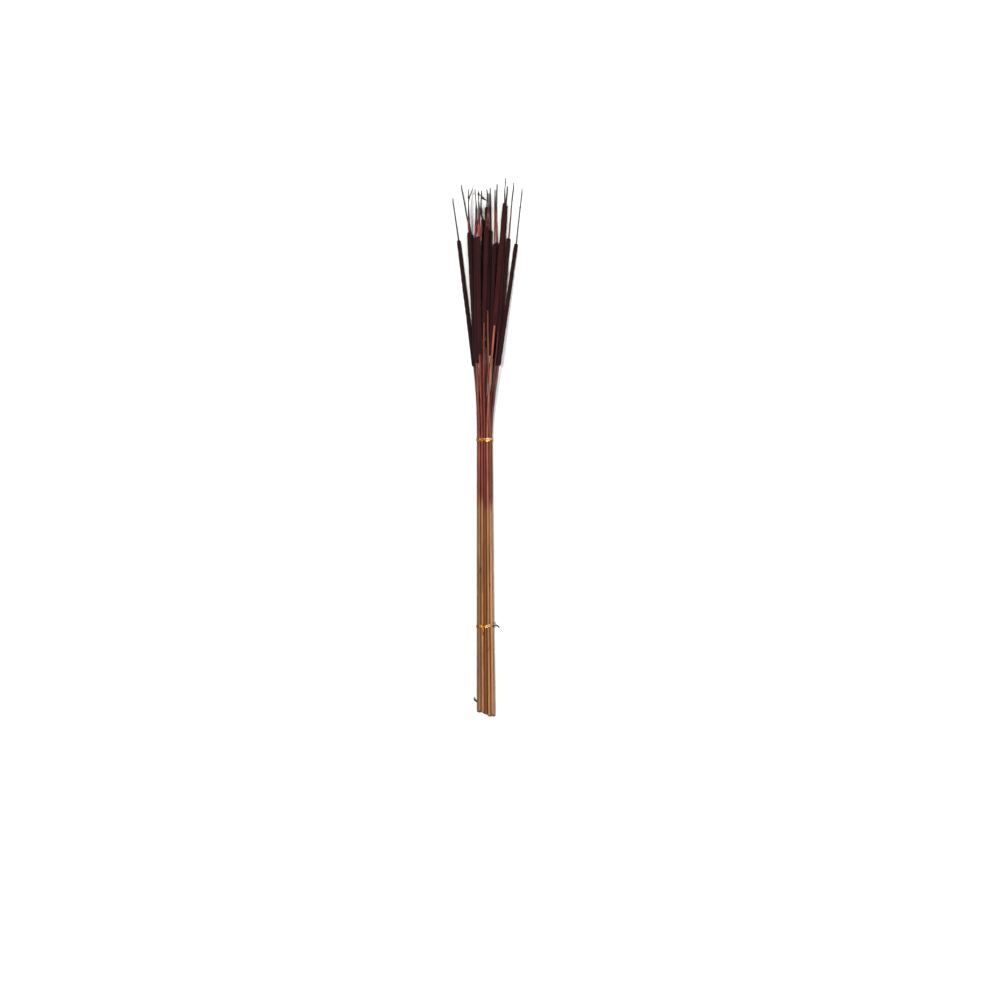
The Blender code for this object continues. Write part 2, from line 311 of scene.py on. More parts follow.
def placeOn(tree, stretch):  # Object coordinates, stretched along the bunch
    place = addNode(tree, "ShaderNodeTexCoord")
    return addNode(tree, "ShaderNodeMapping",
                   {"Vector": place.outputs["Object"], "Scale": (1, stretch, 1)}).outputs[0]


def grainOn(tree, name):
    stretch, scale, detail, rough = grains[name]
    return addNode(tree, "ShaderNodeTexNoise", {"Vector": placeOn(tree, stretch), "Scale": scale,
                                               "Detail": detail, "Roughness": rough}).outputs["Fac"]


def cellsOn(tree, stretch, scale):  # distance from the middles of scattered cells
    return addNode(tree, "ShaderNodeTexVoronoi",
                   {"Vector": placeOn(tree, stretch), "Scale": scale}).outputs["Distance"]


def valueOn(tree, name):
    return addNode(tree, "ShaderNodeAttribute", attribute_name=name).outputs["Fac"]


def hueOn(tree, name):
    return addNode(tree, "ShaderNodeAttribute", attribute_name=name).outputs["Color"]


def rampOf(tree, factor, stops):  # stops are (position, colour)
    ramp = addNode(tree, "ShaderNodeValToRGB", {"Fac": factor})
    ramp.color_ramp.elements.remove(ramp.color_ramp.elements[1])
    first = ramp.color_ramp.elements[0]
    first.position, first.color = stops[0][0], (*stops[0][1], 1)
    for position, colour in stops[1:]:
        stop = ramp.color_ramp.elements.new(position)
        stop.color = (*colour, 1)
    return ramp.outputs["Color"]


def blendOf(tree, factor, first, second):
    mix = addNode(tree, "ShaderNodeMix", data_type="RGBA")
    for socket, value in ((mix.inputs[0], factor), (mix.inputs[6], first), (mix.inputs[7], second)):
        if isinstance(value, bpy.types.NodeSocket):
            tree.links.new(value, socket)
        elif socket.type == "RGBA":
            socket.default_value = (*value, 1)
        else:
            socket.default_value = value
    return mix.outputs[2]


def mathOf(tree, operation, first, second, third=0.0):
    return addNode(tree, "ShaderNodeMath", {0: first, 1: second, 2: third}, operation=operation).outputs[0]


def easeOf(tree, value, low, high):  # 0 at low, 1 at high
    return addNode(tree, "ShaderNodeMapRange", {"Value": value, "From Min": low, "From Max": high},
                   interpolation_type="SMOOTHSTEP").outputs["Result"]


def maskOf(tree, value, low, high, strength):  # 0 at low, strength at high
    return mathOf(tree, "MULTIPLY", easeOf(tree, value, low, high), strength)


def raggedOf(tree, value, grain, span):  # a distance, made uneven by the grain
    return mathOf(tree, "ADD", value, mathOf(tree, "MULTIPLY_ADD", grain, span, -span / 2))


def shadeOf(tree, colour, grain, depth):  # the colour, darker and lighter by the grain
    light = mathOf(tree, "MULTIPLY_ADD", grain, depth, 1 - depth / 2)
    return addNode(tree, "ShaderNodeHueSaturation",
                   {"Color": colour, "Value": light, "Saturation": 1.02}).outputs[0]


def bumpOf(tree, height, strength, depth):
    return addNode(tree, "ShaderNodeBump",
                   {"Height": height, "Strength": strength, "Distance": depth}).outputs[0]


def linearOf(red, green, blue):  # the tone that shows as this 0 to 255 screen colour in the studio's light
    shares = [c / 255 for c in (red, green, blue)]
    tones = [s / 12.92 if s <= 0.04045 else ((s + 0.055) / 1.055) ** 2.4 for s in shares]
    return tuple(tone / studio["brightness"] for tone in tones)


def toneOf(name):
    return linearOf(*shades[name])


def makeStalkMaterial():
    material, tree, shader = startMaterial("driedStalk")
    fibre = grainOn(tree, "fibre")
    streak = grainOn(tree, "streak")
    patch = grainOn(tree, "patch")
    drift = grainOn(tree, "drift")
    mottle = grainOn(tree, "mottle")
    straw = shadeOf(tree, shadeOf(tree, hueOn(tree, "strawHue"), fibre, 1.3), drift, 0.9)
    straw = blendOf(tree, maskOf(tree, streak, 0.48, 0.68, 0.65), straw, toneOf("strawStreak"))
    dyed = shadeOf(tree, shadeOf(tree, hueOn(tree, "dyedHue"), fibre, 1.5), drift, 1.3)
    dyed = blendOf(tree, maskOf(tree, streak, 0.46, 0.66, 0.65), dyed, toneOf("dyedStreak"))
    fromDye = raggedOf(tree, valueOn(tree, "dye"), streak, 50 * mm)
    colour = blendOf(tree, easeOf(tree, fromDye, -9 * mm, 7 * mm), straw, dyed)
    # a spike is pink or rusty at its base, then purple-black, then grey
    pink = blendOf(tree, easeOf(tree, mottle, 0.42, 0.62), toneOf("spikeRed"), toneOf("spikePink"))
    base = blendOf(tree, valueOn(tree, "blush"), toneOf("spikeDark"), pink)
    base = blendOf(tree, valueOn(tree, "rust"), base, toneOf("spikeRust"))
    base = shadeOf(tree, base, fibre, 1.5)
    fromGrey = raggedOf(tree, valueOn(tree, "wither"), patch, 20 * mm)
    base = blendOf(tree, maskOf(tree, fromGrey, -18 * mm, -9 * mm, 0.85), base, toneOf("spikeBruise"))
    grey = blendOf(tree, valueOn(tree, "ash"), toneOf("spikeBlack"), toneOf("spikeAsh"))
    grey = shadeOf(tree, grey, fibre, 1.6)
    top = blendOf(tree, easeOf(tree, fromGrey, -5 * mm, 5 * mm), base, grey)
    colour = blendOf(tree, easeOf(tree, valueOn(tree, "spike"), 0.0, 1.0), colour, top)
    colour = blendOf(tree, maskOf(tree, patch, 0.66, 0.74, 0.55), colour, toneOf("scar"))
    # darker towards the cut end
    fromCut = mathOf(tree, "MULTIPLY_ADD", patch, 4 * mm, valueOn(tree, "fromCut"))
    colour = blendOf(tree, maskOf(tree, fromCut, 5.5 * mm, 2.5 * mm, 0.8), colour, toneOf("cutEndDark"))
    setInputs(tree, shader, {"Base Color": colour, "Specular IOR Level": 0.22,
                             "Roughness": mathOf(tree, "MULTIPLY_ADD", fibre, -0.25, 0.62),
                             "Normal": bumpOf(tree, fibre, 0.45, 0.25 * mm)})
    return material


def makePithMaterial():
    material, tree, shader = startMaterial("cutPith")
    grain = grainOn(tree, "pith")
    colour = rampOf(tree, grain, [(0.35, toneOf("pithDark")), (0.65, toneOf("pithLight"))])
    setInputs(tree, shader, {"Base Color": colour, "Roughness": 0.9,
                             "Normal": bumpOf(tree, grain, 0.7, 0.3 * mm)})
    return material


def makeFluffMaterial():
    material, tree, shader = startMaterial("dyedFluff")
    pile = grainOn(tree, "pile")
    tone = valueOn(tree, "tone")
    dark = blendOf(tree, tone, toneOf("fluffBlack"), toneOf("fluffRed"))
    light = blendOf(tree, tone, toneOf("fluffBlackTip"), toneOf("fluffRedTip"))
    colour = blendOf(tree, easeOf(tree, pile, 0.38, 0.68), dark, light)
    shadow = maskOf(tree, grainOn(tree, "shadow"), 0.5, 0.68, 0.5)
    colour = blendOf(tree, shadow, colour, toneOf("fluffShadow"))
    fleck = maskOf(tree, cellsOn(tree, stretch=0.5, scale=520), 0.2, 0.08, 0.2)
    colour = blendOf(tree, fleck, colour, toneOf("fluffFleck"))
    setInputs(tree, shader, {"Base Color": colour, "Roughness": 0.95, "Specular IOR Level": 0.2,
                             "Sheen Weight": 0.05, "Sheen Roughness": 0.5, "Sheen Tint": (0.75, 0.42, 0.4, 1),
                             "Normal": bumpOf(tree, pile, 0.8, 0.4 * mm)})
    return material


def makeFoilMaterial(name, dark, light, metal):
    material, tree, shader = startMaterial(name)
    tarnish = grainOn(tree, "tarnish")
    colour = rampOf(tree, tarnish, [(0.35, linearOf(*dark)), (0.6, linearOf(*light))])
    setInputs(tree, shader, {"Base Color": colour, "Metallic": metal,
                             "Roughness": mathOf(tree, "MULTIPLY_ADD", tarnish, 0.25, 0.22),
                             "Normal": bumpOf(tree, cellsOn(tree, stretch=1, scale=900), 0.55, 0.35 * mm)})
    return material


def makeWireMaterial():
    material, tree, shader = startMaterial("bareWire")
    rust = grainOn(tree, "rust")
    colour = rampOf(tree, rust, [(0.4, toneOf("wireDark")), (0.7, toneOf("wireLight"))])
    setInputs(tree, shader, {"Base Color": colour, "Metallic": 0.3,
                             "Roughness": mathOf(tree, "MULTIPLY_ADD", rust, 0.3, 0.3)})
    return material


def makeScrapMaterial(name, dark, light):
    material, tree, shader = startMaterial(name)
    vein = grainOn(tree, "vein")
    colour = rampOf(tree, vein, [(0.35, linearOf(*dark)), (0.7, linearOf(*light))])
    setInputs(tree, shader, {"Base Color": colour, "Roughness": 0.8,
                             "Normal": bumpOf(tree, vein, 0.5, 0.2 * mm)})
    return material


driedStalk = makeStalkMaterial()
cutPith = makePithMaterial()
dyedFluff = makeFluffMaterial()
goldFoil = makeFoilMaterial("goldFoil", (122, 64, 14), (212, 150, 62), 1.0)
# a darker, duller copy of the gold foil for the band: painted shade where the band lies in shadow
paintedShadeFoil = makeFoilMaterial("paintedShadeFoil", (86, 42, 10), (178, 108, 36), 0.8)
# a lighter, less metallic copy of the gold foil for the twists' bright faces: painted highlight
paintedHighlightFoil = makeFoilMaterial("paintedHighlightFoil", (226, 162, 78), (255, 220, 146), 0.6)
bareWire = makeWireMaterial()
witheredScrap = makeScrapMaterial("witheredScrap", (26, 14, 14), (66, 40, 36))
dryBract = makeScrapMaterial("dryBract", (72, 24, 14), (132, 66, 34))
print("materials ready")


# Stalks

stalk = {
    "sides": 18, "rings": 210, "ribDepth": 0.07, "tipShare": 0.8,
    "guideStep": 5 * mm, "cutSlants": (12, 48), "cutDepth": 1.3 * mm,
    "endMargin": 0.05 * mm,  # from each end, where the first and the last ring are read
    "pithInset": 0.42 * mm, "pithDepth": 1.1 * mm,
    "wobble": 0.28 * mm, "wobbleSize": 11 * mm, "spikeRough": 0.5 * mm, "spikeRoughSize": 1.6 * mm,
    "roughEase": 10 * mm,  # above its head, over which a spike grows rough
    "spikeInHead": 2 * mm,  # below the head's top, where the spike's colours start
    "dyeEdge": -0.081, "dyeSpread": 0.008,  # where the dye starts, and how far that varies either way
    # screen colours of each stalk, natural below and dyed above
    "straw": {"01": (118, 90, 62), "02": (132, 92, 56), "03": (134, 92, 44), "04": (150, 102, 62),
              "05": (150, 108, 78), "06": (178, 124, 84), "07": (146, 86, 48), "08": (194, 142, 100),
              "09": (138, 78, 42), "10": (138, 86, 48), "11": (124, 74, 34), "12": (150, 102, 62),
              "13": (176, 130, 88), "14": (134, 86, 46), "15": (148, 106, 72), "16": (152, 124, 96)},
    # stalk 14's dyed colour is darker than its own: painted shadow, where stalk 13's neck and head shade it
    "dyed": {"01": (112, 54, 34), "02": (102, 44, 30), "03": (86, 24, 12), "04": (110, 46, 30),
             "05": (146, 76, 52), "06": (144, 68, 58), "07": (100, 36, 22), "08": (130, 70, 54),
             "09": (132, 62, 50), "10": (92, 32, 22), "11": (104, 36, 18), "12": (146, 66, 44),
             "13": (178, 104, 84), "14": (70, 24, 18), "15": (108, 32, 30), "16": (110, 76, 62)},
    # each spike: mm above its head at which it turns grey, how pink its base is, how rusty, how pale the grey
    "spikes": {"01": (0, 0.1, 0, 0.25), "02": (4, 0.1, 0, 0.35), "03": (25, 0.75, 0, 0.15),
               "04": (10, 0.2, 0, 0.9), "05": (45, 0.6, 0, 0.6), "06": (31, 1.0, 0, 0.55),
               "07": (0, 0.1, 0, 0.4), "08": (5, 0.1, 0, 0.1), "09": (33, 0.75, 0, 0.3),
               "10": (55, 0.0, 0, 0.05), "11": (64, 0.2, 1, 0.5), "12": (56, 0.2, 1, 0.5),
               "13": (8, 0.4, 0, 0.45), "14": (12, 0.8, 0, 0.5), "15": (10, 0.8, 0, 0.6),
               "16": (6, 0.3, 0.7, 0.5)},
}


def makeStalkMaster():  # one metre along X, one metre in radius, ribbed
    master = makeRod("stalkMaster", stalk["sides"], stalk["rings"])
    step = math.tau / stalk["sides"]
    pickParts(master, "VERT", lambda v: round(math.atan2(v.co.z, v.co.y) / step) % 2 == 0)
    narrow = 1 - stalk["ribDepth"]
    bpy.ops.transform.resize(value=(1, narrow, narrow))
    pickParts(master, "VERT", lambda v: v.co.x > 0.4999)  # the tip is worn round
    bpy.ops.transform.resize(value=(1, stalk["tipShare"], stalk["tipShare"]))
    closeMesh()
    return master


def stalkLine(number):  # guide points and radii, from the cut end to the tip
    node = "stem_" + number
    low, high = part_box(node)
    ends = (low.y + stalk["endMargin"], high.y - stalk["endMargin"])
    count = int((ends[1] - ends[0]) / stalk["guideStep"])
    points, radii = [], []
    for y in np.linspace(*ends, count + 1):
        centre, radius = middleAt(node, float(y))
        points.append(centre)
        radii.append(radius)
    points[0].y, points[-1].y = low.y, high.y
    return points, radii


def trimFoot(piece, foot, number):  # a slanted cut with a hollow, pithy end
    chance = random.Random("foot" + number)
    slant = math.radians(chance.uniform(*stalk["cutSlants"]))
    turn = chance.uniform(0, math.tau)
    facing = Vector((math.sin(slant) * math.cos(turn), math.cos(slant), math.sin(slant) * math.sin(turn)))
    openMesh(piece)
    bpy.ops.mesh.select_all(action="SELECT")
    bpy.ops.mesh.bisect(plane_co=foot + Vector((0, stalk["cutDepth"], 0)), plane_no=facing,
                        use_fill=True, clear_inner=True)
    bpy.ops.mesh.select_mode(type="FACE")
    bpy.ops.mesh.inset(thickness=stalk["pithInset"])
    piece.active_material_index = 1
    bpy.ops.object.material_slot_assign()
    bpy.ops.mesh.extrude_region_move(TRANSFORM_OT_translate={"value": (0, stalk["pithDepth"], 0)})
    bpy.ops.object.material_slot_assign()
    closeMesh()


def makeStalk(master, number, clouds, grit):
    points, radii = stalkLine(number)
    guide = guideCurve(points, radii)
    piece = copyOf(master, "stalk_" + number)
    piece.data.materials.append(driedStalk)
    piece.data.materials.append(cutPith)
    bendAlong(piece, guide)
    dropPiece(guide)
    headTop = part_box("head_" + number)[1].y
    beyond = np.clip((vertexPlaces(piece)[:, 1] - headTop) / stalk["roughEase"], 0, 1)
    gritty = piece.vertex_groups.new(name="gritty")
    for share in np.unique(beyond[beyond > 0]):
        gritty.add([int(i) for i in np.nonzero(beyond == share)[0]], float(share), "REPLACE")
    roughen(piece, clouds, stalk["wobble"])
    roughen(piece, grit, stalk["spikeRough"], "gritty")
    piece.vertex_groups.clear()
    trimFoot(piece, points[0], number)
    smooth(piece)
    chance = random.Random("dye" + number)
    edge = stalk["dyeEdge"] + chance.uniform(-1, 1) * stalk["dyeSpread"]
    along = vertexPlaces(piece)[:, 1]
    greyFrom, blush, rust, ash = stalk["spikes"][number]
    setValues(piece, "spike", along > headTop - stalk["spikeInHead"])
    setValues(piece, "wither", along - headTop - greyFrom * mm)
    setValues(piece, "dye", along - edge)
    setValues(piece, "fromCut", along - points[0].y)
    for name, value in (("blush", blush), ("rust", rust), ("ash", ash)):
        setValues(piece, name, np.full(len(along), value))
    setHue(piece, "strawHue", stalk["straw"][number])
    setHue(piece, "dyedHue", stalk["dyed"][number])
    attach(piece, "root")
    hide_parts("stem_" + number)


def makeStalks():
    master = makeStalkMaster()
    clouds = cloudTexture("stalkWobble", stalk["wobbleSize"])
    grit = cloudTexture("spikeGrit", stalk["spikeRoughSize"], depth=3)
    for number in numbers:
        makeStalk(master, number, clouds, grit)
    dropPiece(master)


makeStalks()
print("stalks made")


# Seed heads

head = {
    "sides": 40, "rings": 255, "length": 160 * mm, "radius": 3.2 * mm, "bore": 1.3 * mm,
    "pileDepth": 0.34 * mm, "stray": 0.16 * mm, "lumps": 0.9 * mm, "lumpSize": 14 * mm,
    "endRings": 26,  # as many as narrow towards an end
    "boreMargin": 1.05,  # farther from the axis than this many bores is not the bore's wall
    "sharpest": 2,  # the shell factor from which a point of the pile is left where it is
    "axisInset": 3 * mm,  # from each end of a CAD head, where its axis is measured
    # distance from an end in mm, and the share of the full radius there
    "lowEnd": ((0, 0.62), (0.7, 0.78), (1.6, 0.87), (3.2, 0.94), (6, 0.98), (12, 1)),
    "topEnd": ((0, 0.56), (0.7, 0.72), (1.8, 0.82), (4, 0.9), (8, 0.95), (16, 1)),
    # tone runs from 0, blackish, to 1, reddish, at the low end and at the top of each head
    "tones": {"01": (0.1, 0.15), "02": (0.05, 0.05), "03": (0.15, 0.2), "04": (0.1, 0.1), "05": (0.3, 0.35),
              "06": (0.4, 0.45), "07": (0.25, 0.25), "08": (0.35, 0.4), "09": (0.55, 0.55),
              "10": (0.2, 0.2), "11": (0.45, 0.4), "12": (0.35, 0.35), "13": (1.0, 0.4),
              "14": (0.45, 0.5), "15": (0.3, 0.35), "16": (0.25, 0.3)},
}


def endShare(distance, stops):
    return float(np.interp(distance / mm, [s[0] for s in stops], [s[1] for s in stops]))


def isOutside(vertex):
    return math.hypot(vertex.co.y, vertex.co.z) > head["boreMargin"] * head["bore"]


def isPilePoint(vertex):  # the middle of a poked face, unless it is too sharp a corner
    return len(vertex.link_edges) == 4 and vertex.calc_shell_factor() < head["sharpest"] and isOutside(vertex)


def makeHeadMaster():  # lies along X from 0, with a bore for its stalk and a short dense pile
    length = head["length"]
    master = makeRod("headMaster", head["sides"], head["rings"], head["radius"], length, middle=length / 2)
    ringStep = length / (head["rings"] + 1)
    for fromEnd in range(head["endRings"]):  # the rounded ends, ring by ring
        for x, stops in ((fromEnd * ringStep, head["lowEnd"]), (length - fromEnd * ringStep, head["topEnd"])):
            share = endShare(fromEnd * ringStep, stops)
            if share < 1:
                pickParts(master, "VERT", lambda v: abs(v.co.x - x) < ringStep / 4)
                bpy.ops.transform.resize(value=(1, share, share))
    for x, stops in ((0, head["lowEnd"]), (length, head["topEnd"])):  # down to the bore
        pickParts(master, "FACE", lambda f: len(f.verts) > 4 and abs(f.calc_center_median().x - x) < mm)
        bpy.ops.mesh.inset(thickness=endShare(0, stops) * head["radius"] - head["bore"])
    pickParts(master, "FACE", lambda f: len(f.verts) > 4)
    bpy.ops.mesh.delete(type="FACE")
    pickParts(master, "EDGE", lambda e: e.is_boundary)
    bpy.ops.mesh.bridge_edge_loops()
    pickParts(master, "FACE", lambda f: any(isOutside(v) for v in f.verts))
    bpy.ops.mesh.poke(offset=head["pileDepth"])
    pickParts(master, "VERT", isPilePoint)
    bpy.ops.transform.vertex_random(offset=head["stray"], seed=7)
    closeMesh()
    return master


def makeHead(master, number, clouds):
    node = "head_" + number
    low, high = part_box(node)
    start, _ = middleAt(node, low.y + head["axisInset"])
    end, _ = middleAt(node, high.y - head["axisInset"])
    _, radius = middleAt(node, (low.y + high.y) / 2)
    way = (end - start).normalized()
    start -= way * (start.y - low.y) / way.y
    end += way * (high.y - end.y) / way.y
    piece = copyOf(master, "fluff_" + number)
    piece.data.materials.append(dyedFluff)
    thick = (radius - head["pileDepth"]) / head["radius"]
    chance = random.Random("head" + number)
    piece.matrix_world = (Matrix.Translation(start) @ way.to_track_quat("X", "Z").to_matrix().to_4x4()
                          @ Matrix.Rotation(chance.uniform(0, math.tau), 4, "X")
                          @ Matrix.Diagonal(((end - start).length / head["length"], thick, thick, 1)))
    settle(piece)
    roughen(piece, clouds, head["lumps"])
    smooth(piece, degrees=180)
    setValues(piece, "tone", np.interp(vertexPlaces(piece)[:, 1], (low.y, high.y), head["tones"][number]))
    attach(piece, "root")
    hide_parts(node)


def makeHeads():
    master = makeHeadMaster()
    clouds = cloudTexture("headLumps", head["lumpSize"])
    for number in numbers:
        makeHead(master, number, clouds)
    dropPiece(master)


makeHeads()
print("seed heads made")


# Strips and strands, which the scraps and the ties are made of

def makeStripMaster():  # one metre long and wide, flat in XZ
    bpy.ops.object.select_all(action="DESELECT")
    bpy.ops.mesh.primitive_grid_add(x_subdivisions=150, y_subdivisions=8, size=1,
                                    rotation=(math.pi / 2, 0, 0))
    master = bpy.context.object
    master.name = "stripMaster"
    settle(master)
    return master


def shapeStrip(master, name, guide, clouds, look):  # look holds wide, rise, crumple, thick and finish
    piece = copyOf(master, name)
    openMesh(piece, "VERT")
    bpy.ops.mesh.select_all(action="SELECT")
    bpy.ops.transform.resize(value=(1, 1, look["wide"]))
    pickParts(piece, "VERT", lambda v: abs(v.co.z) < 0.01 * look["wide"])
    bpy.ops.transform.translate(value=(0, look["rise"], 0))  # a fold or a wire along its middle
    closeMesh()
    piece.matrix_world = guide.matrix_world
    bendAlong(piece, guide)
    settle(piece)
    roughen(piece, clouds, look["crumple"])
    wall = piece.modifiers.new("Thick", "SOLIDIFY")
    wall.thickness = look["thick"]
    wall.offset = 0
    applyAll(piece)
    smooth(piece, degrees=35)
    piece.data.materials.append(look["finish"])
    return piece


def makeStrip(master, name, points, turns, clouds, look, taper=(1, 1, 1)):
    shares = np.linspace(0, 1, len(points))
    tilts = [math.tau * float(np.interp(share, (0, 1), turns)) for share in shares]
    radii = [float(r) for r in np.interp(shares, (0, 0.5, 1), taper)]
    guide = guideCurve(points, radii, tilts)
    guide.data.twist_mode = "Z_UP"
    bpy.context.view_layer.update()
    piece = shapeStrip(master, name, guide, clouds, look)
    dropPiece(guide)
    return piece


def makeStrand(name, points, radii, finish, rings=30):  # a round strand along the points
    piece = makeRod(name, sides=10, rings=rings)
    closeMesh()
    guide = guideCurve(points, radii)
    bendAlong(piece, guide)
    dropPiece(guide)
    smooth(piece)
    piece.data.materials.append(finish)
    return piece


def joinPieces(pieces, name):
    bpy.ops.object.select_all(action="DESELECT")
    for piece in pieces:
        piece.select_set(True)
    bpy.context.view_layer.objects.active = pieces[0]
    bpy.ops.object.join()
    pieces[0].name = pieces[0].data.name = name
    return pieces[0]


def pointsBetween(stops, count):  # evenly spaced along the straight runs between the stops
    reach = np.cumsum([0] + [(b - a).length for a, b in zip(stops, stops[1:])])
    at = np.linspace(0, reach[-1], count)
    places = [np.interp(at, reach, [stop[k] for stop in stops]) for k in range(3)]
    return [Vector(tuple(map(float, place))) for place in zip(*places)]


# Scraps of husk and leaf

scrap = {
    # a husk round a stalk's spike: its two ends along the bunch and its radius, in mm
    "husks": (("03", 731.5, 735.5, 1.3), ("06", 736, 740.5, 1.5), ("07", 710, 723, 2.1),
              ("16", 719, 724, 1.2)),
    "huskShares": (0.45, 0.85, 1, 0.95, 0.85, 0.6, 0.35),
    "shoulder": ("07", 696, 706, 2.5),  # worn fluff that reaches above its head
    "shoulderTone": 0.2, "shoulderRough": 0.7 * mm, "huskRough": 0.5 * mm, "roughSize": 1.3 * mm,
    # the wisp's stops in mm: (across, along, rise above stem 06), then the same above stem 09, with the
    # places along these stems at which the height is taken
    "wispFrom": 738, "wispTo": 731,
    "wispStart": ((-13.6, 737.4, 0.4), (-11.6, 736.0, 1.0), (-9.0, 736.0, 0.4)),
    "wispEnd": ((-6.2, 732.4, 3.2), (-3.4, 730.6, 1.6), (-0.4, 729.6, 0.7), (1.2, 729.2, 0.5)),
    "wispRadii": (0.9, 0.8, 0.7, 0.6, 1.0, 1.7, 1.3, 0.7, 0.6, 0.5),
    # stops of the same kind, above stem 06 and above stem 01
    "bract": ((-10.8, 673.5, 0.2), (-9.6, 681, 0.4), (-8.7, 691, 0.2), (-8.6, 701, -0.4)),
    "curl": ((-14.6, 21.5, 0.2), (-16.6, 22.6, 0.4), (-18.2, 24.6, 0.5), (-18.7, 28.4, 0.9)),
}


def stopsOver(node, stops, y=None):  # places given in mm, with their rise above a stem's own middle
    placed = []
    for across, along, rise in stops:
        at = feet + (along if y is None else y) * mm
        centre, _ = middleAt(node, at)
        placed.append(Vector((across * mm, feet + along * mm, centre.z + rise * mm)))
    return placed


def makeHusk(number, start, end, radius, finish):
    points, radii = [], []
    for y, share in zip(np.linspace(start, end, len(scrap["huskShares"])), scrap["huskShares"]):
        centre, _ = middleAt("stem_" + number, feet + float(y) * mm)
        centre.z = max(centre.z, radius * mm)
        points.append(centre)
        radii.append(share * radius * mm)
    return makeStrand("husk_" + number, points, radii, finish)


def makeScraps(master):
    grit = cloudTexture("huskGrit", scrap["roughSize"], depth=3)
    made = [makeHusk(*own, witheredScrap) for own in scrap["husks"]]
    wispStops = stopsOver("stem_06", scrap["wispStart"], scrap["wispFrom"])
    wispStops += stopsOver("stem_09", scrap["wispEnd"], scrap["wispTo"])
    radii = [r * mm for r in scrap["wispRadii"]]
    made.append(makeStrand("wisp", pointsBetween(wispStops, len(radii)), radii, witheredScrap, rings=60))
    for piece in made:
        roughen(piece, grit, scrap["huskRough"])
    leaf = {"wide": 3.4 * mm, "rise": 0.5 * mm, "crumple": 0.7 * mm, "thick": 0.25 * mm, "finish": dryBract}
    points = pointsBetween(stopsOver("stem_06", scrap["bract"]), count=24)
    made.append(makeStrip(master, "bract", points, (0.25, 0.3), grit, leaf, taper=(0.8, 1, 0.45)))
    sliver = dict(leaf, wide=3.0 * mm, finish=witheredScrap)
    points = pointsBetween(stopsOver("stem_01", scrap["curl"]), count=20)
    made.append(makeStrip(master, "curl", points, (0.25, 0.4), grit, sliver, taper=(0.5, 1, 0.4)))
    scraps = joinPieces(made, "husks_and_bract")
    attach(scraps, "root")

    shoulder = makeHusk(*scrap["shoulder"], dyedFluff)
    roughen(shoulder, grit, scrap["shoulderRough"])
    setValues(shoulder, "tone", np.full(len(shoulder.data.vertices), scrap["shoulderTone"]))
    shoulder.name = shoulder.data.name = "worn_shoulder"
    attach(shoulder, "root")


stripMaster = makeStripMaster()
makeScraps(stripMaster)
print("scraps made")


# Twist ties

tie = {
    "wide": 4.0 * mm, "thick": 0.16 * mm, "crumple": 0.75 * mm, "crumpleSize": 1.4 * mm, "rise": 0.35 * mm,
    "bandPoints": 96, "lapPoints": 6,  # points round the bunch, and those where the strip laps over itself
    "bandInset": 0.25 * mm,  # how far the strip runs inside the CAD band's face
    "bandEdge": 1.25 * mm,  # from the band's middle, where its ring is read
    "bandReach": 1.2 * mm,  # past the stems, beyond which only the CAD's wire ends lie
    "pinchEase": 1.2,  # mm over which the pinch starts and ends
    "riseShare": 0.2,  # of a flag's width, which its rise doesn't pass
    "routePoints": 24, "wireRadii": (0.85 * mm, 0.5 * mm),
    # pinch is where the band is squeezed narrow, from and to across, and the share of its width that is left
    # a flag is a loose end or a fold of the strip: its stops as (across, along, rise above the band), its
    # width, its turn at both ends, where 0.25 lies flat, and its foil. All in mm and whole turns
    # a wire has stops of the same kind
    # the pale foil on the bright knot flags is a lit copy of the gold foil, a painted highlight
    "upper_tie": {
        "middle": feet + 0.392, "pinch": (-8.0, -2.2, 0.32),
        "flags": ((((-2.4, -0.4, 0.7), (0.6, 0.0, 1.5), (3.8, 0.4, 0.9)), 4.8, (0.22, 0.3), paintedHighlightFoil),
                  (((3.0, 1.0, 0.9), (5.0, 1.3, 1.0), (7.0, 1.0, 0.5)), 2.2, (0.3, 0.15), paintedHighlightFoil),
                  (((-13.6, 0.1, 0.2), (-11.0, 0.5, 1.0), (-8.4, 0.1, 0.5)), 3.4, (0.14, 0.4), goldFoil),
                  (((-9.4, 1.4, 0.6), (-10.4, 3.0, 0.9), (-10.9, 4.8, 0.8)), 1.3, (0.25, 0.5), goldFoil)),
        "wires": ()},
    "lower_tie": {
        "middle": feet + 0.128, "pinch": (4.2, 12.0, 0.32),
        "flags": ((((-3.2, -0.6, 0.9), (0.4, 0.8, 1.8), (3.8, 1.9, 1.1)), 3.4, (0.22, 0.3), paintedHighlightFoil),
                  (((-14.0, 0.0, 0.2), (-9.4, 0.5, 0.9), (-4.6, 0.1, 0.5)), 3.6, (0.34, 0.14), goldFoil),
                  (((-6.4, -1.2, 0.5), (-6.2, -7.0, 0.4), (-5.9, -16.0, 0.1)), 1.6, (0.25, 0.3), goldFoil),
                  (((3.2, 1.2, 1.0), (4.2, 3.2, 0.9), (4.9, 5.2, 0.6)), 1.5, (0.25, 0.4), goldFoil)),
        "wires": (((8.0, 0.6, 0.4), (10.4, 1.5, 0.5), (12.4, 1.8, 0.5), (14.6, 1.2, 0.3),
                   (15.6, -0.2, 0.2), (16.4, -1.8, 0.1)),
                  ((7.8, 3.4, 0.1), (9.4, 5.0, 0.5), (11.2, 5.4, 0.4), (11.6, 4.0, 0.2)))},
}


def bandLine(name, y):  # (x, z) points round the middle of the CAD band
    ring = cutAcross(name, y)[:, [0, 2]]
    sides = [middleAt("stem_" + number, y) for number in numbers]
    reach = max(centre.x + radius for centre, radius in sides) + tie["bandReach"]
    ring = ring[ring[:, 0] < reach]  # without its wire ends
    middle = (ring.min(axis=0) + ring.max(axis=0)) / 2
    line = []
    for i in range(tie["bandPoints"]):
        angle = math.tau * i / tie["bandPoints"]
        facing = np.array((math.cos(angle), math.sin(angle)))
        corner = ring[np.argmax((ring - middle) @ facing)]
        line.append(corner - facing * tie["bandInset"])
    return line


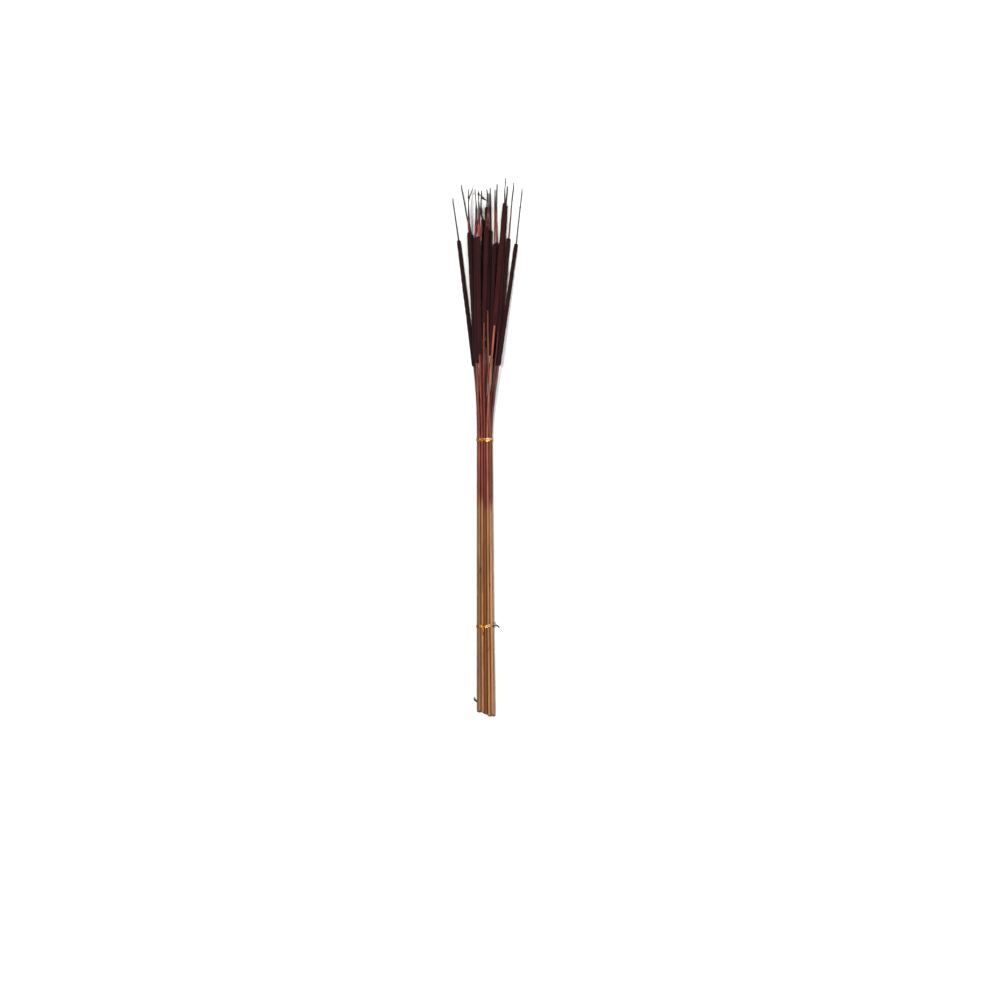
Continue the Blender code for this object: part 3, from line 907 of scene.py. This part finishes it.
def routeOver(band, middle, route):  # points of a route given over the top of the band
    crest = sorted((float(x), float(z)) for x, z in band if z > np.mean([p[1] for p in band]))
    stops = []
    for x, aside, rise in route:
        z = float(np.interp(x * mm, [c[0] for c in crest], [c[1] for c in crest]))
        stops.append(Vector((x * mm, middle + aside * mm, z + rise * mm)))
    return pointsBetween(stops, tie["routePoints"])


def makeBand(name, own, band, master, clouds, look):
    lap = band + band[:tie["lapPoints"]]
    middleHeight = float(np.mean([z for _, z in band]))
    start, end, share = own["pinch"]
    stops = (start - tie["pinchEase"], start, end, end + tie["pinchEase"])
    radii = []
    for x, z in lap:
        squeezed = float(np.interp(x / mm, stops, (1, share, share, 1)))
        radii.append(squeezed if z > middleHeight else 1.0)
    guide = guideCurve([(float(x), float(z), 0) for x, z in lap], radii)
    guide.matrix_world = Matrix.Translation((0, own["middle"], 0)) @ Matrix.Rotation(math.pi / 2, 4, "X")
    guide.data.twist_mode = "Z_UP"
    bpy.context.view_layer.update()
    strip = shapeStrip(master, name + "Band", guide, clouds, look)
    dropPiece(guide)
    return strip


def makeTie(name, master, clouds):
    own = tie[name]
    # the band's finish is the darker foil copy, which is painted shade
    look = {"wide": tie["wide"], "rise": tie["rise"], "crumple": tie["crumple"], "thick": tie["thick"],
            "finish": paintedShadeFoil}
    band = bandLine(name, own["middle"] - tie["bandEdge"])
    made = [makeBand(name, own, band, master, clouds, look)]
    for index, (route, wide, turns, foilKind) in enumerate(own["flags"]):
        rise = min(tie["rise"], tie["riseShare"] * wide * mm)
        flagLook = dict(look, wide=wide * mm, rise=rise, finish=foilKind)
        points = routeOver(band, own["middle"], route)
        made.append(makeStrip(master, f"{name}Flag{index}", points, turns, clouds, flagLook))
    foil = joinPieces(made, name + "_foil")
    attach(foil, "root")
    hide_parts(name)
    if own["wires"]:
        wires = []
        for index, (route, radius) in enumerate(zip(own["wires"], tie["wireRadii"])):
            points = routeOver(band, own["middle"], route)
            wires.append(makeStrand(f"{name}Wire{index}", points, [radius] * len(points), bareWire))
        ends = joinPieces(wires, name + "_wire_ends")
        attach(ends, "root")


def makeTies(master):
    clouds = cloudTexture("foilCrumple", tie["crumpleSize"], depth=1)
    for name in ("upper_tie", "lower_tie"):
        makeTie(name, master, clouds)


makeTies(stripMaster)
dropPiece(stripMaster)
print("ties made")
